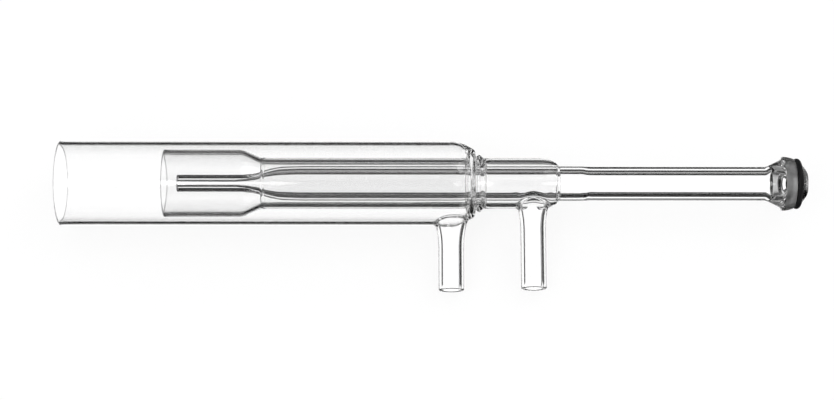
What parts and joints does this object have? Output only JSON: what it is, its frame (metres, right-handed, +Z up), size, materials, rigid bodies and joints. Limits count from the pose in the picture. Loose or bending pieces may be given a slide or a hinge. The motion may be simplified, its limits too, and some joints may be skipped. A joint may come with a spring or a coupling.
{
  "type": "icp torch",
  "caption": "Clear quartz plasma torch: three tubes one inside the other, fused into one, with two side gas arms and a grooved ball end that carries a black rubber ring",
  "frame": {"origin": "centre of the open mouth of the outer tube, on the torch axis", "axes": "+X along the torch from the open mouth to the ball end; +Z up as the torch lies, with the arms towards -Y and down to the surface"},
  "size_m": [0.1754, 0.0353, 0.02],
  "materials": {
    "quartz": "polished",
    "ring_rubber": "satin"
  },
  "bodies": {
    "root": {"quartz_body": "quartz", "o_ring": "ring_rubber"}
  },
  "joints": []
}
